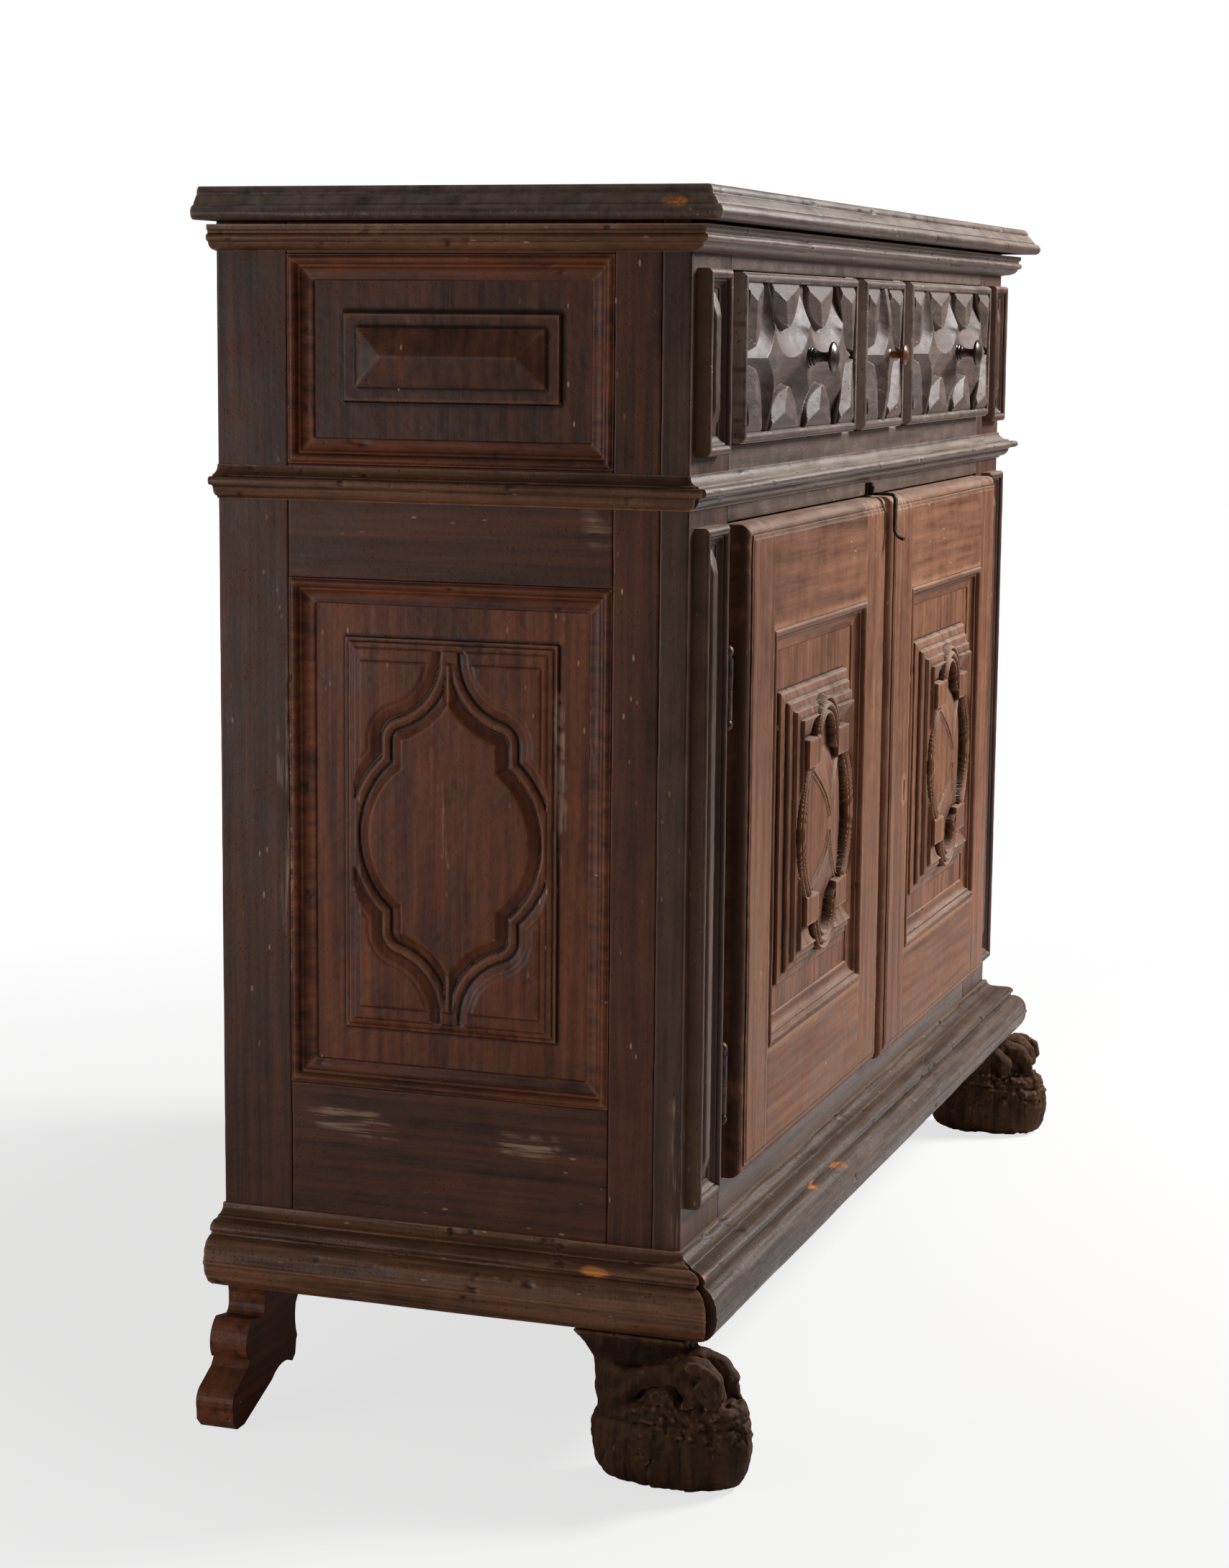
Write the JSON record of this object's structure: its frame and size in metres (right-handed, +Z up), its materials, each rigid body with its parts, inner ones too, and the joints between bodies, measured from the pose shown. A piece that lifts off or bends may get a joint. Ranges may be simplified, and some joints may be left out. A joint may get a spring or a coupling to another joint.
{
  "type": "credenza",
  "caption": "Old walnut credenza with carved frieze drawers over a pair of carved panelled doors, moulded top, waist and base, lion's paws in front and bracket feet behind.",
  "frame": {"origin": "on the floor under the centre of the whole object's box", "axes": "+Z up, +X to the right along the front, +Y from front to back"},
  "size_m": [1.266, 0.485, 1.033],
  "materials": {
    "side_wood": "old dark walnut, worn wax",
    "front_wood": "old walnut, grey-brown worn wax",
    "door_wood": "old walnut, lighter and drier",
    "inside_wood": "bare poplar, unpolished",
    "paw_wood": "blackened carved walnut",
    "knob_wood": "dark turned wood, polished by hands",
    "knob_wood_light": "reddish turned wood",
    "old_iron": "forged iron, dark and dull"
  },
  "bodies": {
    "root": {"top_board": "side_wood", "cornice_front": "front_wood", "cornice_sides": "side_wood", "waist_front": "front_wood", "waist_sides": "side_wood", "base_front": "front_wood", "base_sides": "side_wood", "front_stile_left": "front_wood", "front_stile_right": "front_wood", "front_top_rail": "front_wood", "front_waist_rail": "front_wood", "front_base_rail": "front_wood", "drawer_dividers": "front_wood", "side_frame_left": "side_wood", "side_frame_right": "side_wood", "side_upper_panel_left": "side_wood", "side_upper_panel_right": "side_wood", "side_lower_panel_left": "side_wood", "side_lower_panel_right": "side_wood", "side_mouldings_left": "side_wood", "side_mouldings_right": "side_wood", "back_boards": "inside_wood", "bottom_board": "inside_wood", "shelf": "inside_wood", "shelf_cleats": "inside_wood", "drawer_runners": "inside_wood", "pilaster_upper_left": "front_wood", "pilaster_upper_right": "front_wood", "pilaster_lower_left": "front_wood", "pilaster_lower_right": "front_wood", "hinge_pins": "old_iron", "paw_left": "paw_wood", "paw_right": "paw_wood", "rear_foot_left": "side_wood", "rear_foot_right": "side_wood"},
    "drawer_left": {"drawer_front_left": "front_wood", "drawer_box_left": "inside_wood", "drawer_knob_left": "knob_wood"},
    "drawer_centre": {"drawer_front_centre": "front_wood", "drawer_box_centre": "inside_wood", "drawer_knob_centre": "knob_wood_light"},
    "drawer_right": {"drawer_front_right": "front_wood", "drawer_box_right": "inside_wood", "drawer_knob_right": "knob_wood"},
    "door_left": {"door_frame_left": "door_wood", "door_moulding_left": "door_wood", "door_panel_left": "door_wood", "door_hinges_left": "old_iron", "hook_plate": "old_iron"},
    "door_right": {"door_frame_right": "door_wood", "door_moulding_right": "door_wood", "door_panel_right": "door_wood", "door_hinges_right": "old_iron", "lock_case": "old_iron"},
    "lock_bolt": {"lock_bolt": "old_iron"},
    "hook": {"hook": "old_iron"}
  },
  "joints": [
    {"name": "drawer_left_slide", "type": "slide", "parent": "root", "child": "drawer_left", "axis": [0, -1, 0], "range_m": [0, 0.25]},
    {"name": "drawer_centre_slide", "type": "slide", "parent": "root", "child": "drawer_centre", "axis": [0, -1, 0], "range_m": [0, 0.25]},
    {"name": "drawer_right_slide", "type": "slide", "parent": "root", "child": "drawer_right", "axis": [0, -1, 0], "range_m": [0, 0.25]},
    {"name": "door_left_hinge", "type": "hinge", "parent": "root", "child": "door_left", "pos_m": [-0.479, -0.177, 0.414], "axis": [0, 0, -1], "range_deg": [0, 100]},
    {"name": "door_right_hinge", "type": "hinge", "parent": "root", "child": "door_right", "pos_m": [0.479, -0.177, 0.414], "axis": [0, 0, 1], "range_deg": [0, 100]},
    {"name": "lock_bolt_slide", "type": "slide", "parent": "door_right", "child": "lock_bolt", "axis": [-1, 0, 0], "range_m": [0, 0.015]},
    {"name": "hook_turn", "type": "hinge", "parent": "door_left", "child": "hook", "pos_m": [-0.01, -0.1745, 0.773], "axis": [0, 1, 0], "range_deg": [0, 80]}
  ]
}
